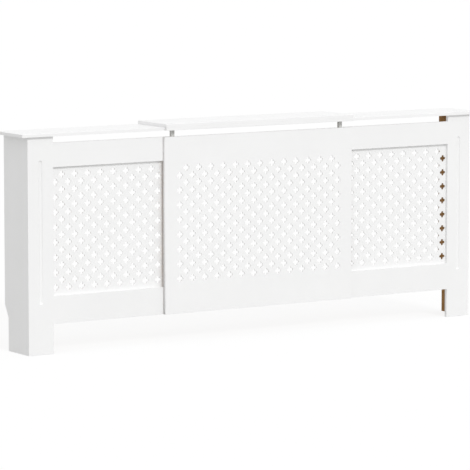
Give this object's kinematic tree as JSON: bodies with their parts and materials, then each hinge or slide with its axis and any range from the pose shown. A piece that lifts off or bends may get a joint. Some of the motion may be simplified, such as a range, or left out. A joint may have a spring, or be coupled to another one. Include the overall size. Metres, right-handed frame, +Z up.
{
  "type": "radiator cover",
  "caption": "Extending radiator cover: white board end units slide in behind a pierced centre panel and its raised top shelf, with lattice windows and vent gaps.",
  "frame": {"origin": "middle of the footprint of the cover pulled out to full width, on the floor", "axes": "+X along the cover to the right end, +Y from the front to the wall, +Z up"},
  "size_m": [2.05, 0.205, 0.8245],
  "materials": {
    "white_board": "satin white paint on fibreboard",
    "raw_board": "unpainted fibreboard",
    "grey_plastic": "moulded grey plastic",
    "felt": "pressed felt",
    "bracket_steel": "zinc plated"
  },
  "bodies": {
    "centre": {"centre_front_board": "white_board", "centre_top_board": "white_board", "centre_top_lip": "white_board", "upper_guide_batten": "raw_board", "lower_guide_batten": "raw_board", "upper_stop_block": "raw_board", "lower_stop_block": "raw_board"},
    "left_end": {"left_front_frame": "white_board", "left_side_panel": "white_board", "left_top_board": "white_board", "left_lattice": "white_board", "left_support_post": "grey_plastic", "left_corner_batten": "raw_board", "left_top_cleat": "raw_board", "left_upper_slide_pad": "felt", "left_lower_slide_pad": "felt", "left_wall_bracket": "bracket_steel"},
    "right_end": {"right_front_frame": "white_board", "right_side_panel": "white_board", "right_top_board": "white_board", "right_lattice": "white_board", "right_support_post": "grey_plastic", "right_corner_batten": "raw_board", "right_top_cleat": "raw_board", "right_upper_slide_pad": "felt", "right_lower_slide_pad": "felt", "right_wall_bracket": "bracket_steel"}
  },
  "joints": [
    {"name": "left_extension", "type": "slide", "parent": "centre", "child": "left_end", "axis": [1, 0, 0], "range_m": [0, 0.265]},
    {"name": "right_extension", "type": "slide", "parent": "centre", "child": "right_end", "axis": [-1, 0, 0], "range_m": [0, 0.265]}
  ]
}
